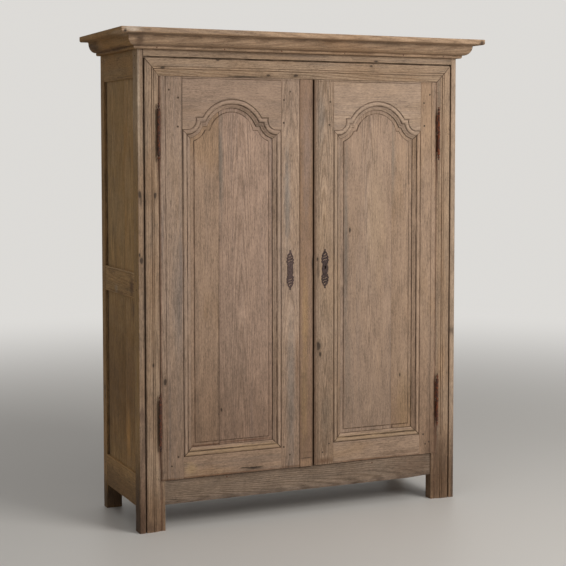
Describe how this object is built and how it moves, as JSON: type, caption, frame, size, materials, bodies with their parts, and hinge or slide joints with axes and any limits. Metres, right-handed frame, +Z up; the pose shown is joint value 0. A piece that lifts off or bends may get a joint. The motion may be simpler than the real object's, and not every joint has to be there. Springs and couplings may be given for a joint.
{
  "type": "cabinet",
  "caption": "Tall framed oak cabinet with arched raised-panel doors on drop hinges, a rim lock, door bolts, inner shelves and a deep moulded cornice.",
  "frame": {"origin": "on the floor, at the middle of the overall footprint", "axes": "+Z up, +X to the right seen from the front, +Y towards the back, so the doors face -Y"},
  "size_m": [1.58, 0.568, 1.946],
  "materials": {
    "front_oak": "weathered, bleached light brown-grey oak",
    "door_oak": "weathered light brown-grey oak with a pinkish cast",
    "side_oak": "weathered warm brown oak",
    "inner_oak": "bare dull oak",
    "back_oak": "rough bare oak",
    "rusty_iron": "forged iron, rusted dark brown",
    "worn_iron": "old iron with a worn brown skin"
  },
  "bodies": {
    "case": {"front_post_left": "front_oak", "front_post_right": "front_oak", "rear_post_left": "side_oak", "rear_post_right": "side_oak", "front_top_rail": "front_oak", "front_bottom_rail": "front_oak", "side_top_rail_left": "side_oak", "side_top_rail_right": "side_oak", "side_middle_rail_left": "side_oak", "side_middle_rail_right": "side_oak", "side_bottom_rail_left": "side_oak", "side_bottom_rail_right": "side_oak", "side_panel_upper_left": "side_oak", "side_panel_upper_right": "side_oak", "side_panel_lower_left": "side_oak", "side_panel_lower_right": "side_oak", "back_top_rail": "back_oak", "back_bottom_rail": "back_oak", "back_boards": "back_oak", "floor_boards": "inner_oak", "roof_boards": "back_oak", "cornice_front": "front_oak", "cornice_return_left": "side_oak", "cornice_return_right": "side_oak", "shelf_lower": "inner_oak", "shelf_middle": "inner_oak", "shelf_upper": "inner_oak", "cleat_lower_left": "inner_oak", "cleat_lower_right": "inner_oak", "cleat_upper_left": "inner_oak", "cleat_upper_right": "inner_oak", "left_lower_hinge_pin_half": "rusty_iron", "left_upper_hinge_pin_half": "rusty_iron", "right_lower_hinge_pin_half": "rusty_iron", "right_upper_hinge_pin_half": "rusty_iron"},
    "left_door": {"left_door_hinge_stile": "door_oak", "left_door_meeting_stile": "door_oak", "left_door_top_rail": "door_oak", "left_door_bottom_rail": "door_oak", "left_door_panel": "door_oak", "closing_strip": "door_oak", "left_escutcheon": "worn_iron", "left_lower_hinge_door_half": "rusty_iron", "left_upper_hinge_door_half": "rusty_iron", "lock_keeper": "rusty_iron", "upper_bolt_plate": "rusty_iron", "lower_bolt_plate": "rusty_iron"},
    "right_door": {"right_door_hinge_stile": "door_oak", "right_door_meeting_stile": "door_oak", "right_door_top_rail": "door_oak", "right_door_bottom_rail": "door_oak", "right_door_panel": "door_oak", "right_escutcheon": "worn_iron", "right_lower_hinge_door_half": "rusty_iron", "right_upper_hinge_door_half": "rusty_iron", "lock_case": "rusty_iron"},
    "lock_bolt": {"lock_bolt": "worn_iron"},
    "upper_bolt": {"upper_bolt": "worn_iron"},
    "lower_bolt": {"lower_bolt": "worn_iron"}
  },
  "joints": [
    {"name": "left_door_hinge", "type": "hinge", "parent": "case", "child": "left_door", "pos_m": [-0.6185, -0.201, 0.9832], "axis": [0, 0, -1], "range_deg": [0, 170]},
    {"name": "right_door_hinge", "type": "hinge", "parent": "case", "child": "right_door", "pos_m": [0.6185, -0.201, 0.9832], "axis": [0, 0, 1], "range_deg": [0, 170]},
    {"name": "lock_bolt_slide", "type": "slide", "parent": "right_door", "child": "lock_bolt", "axis": [-1, 0, 0], "range_m": [0, 0.022]},
    {"name": "upper_bolt_slide", "type": "slide", "parent": "left_door", "child": "upper_bolt", "axis": [0, 0, 1], "range_m": [0, 0.018]},
    {"name": "lower_bolt_slide", "type": "slide", "parent": "left_door", "child": "lower_bolt", "axis": [0, 0, -1], "range_m": [0, 0.018]}
  ]
}
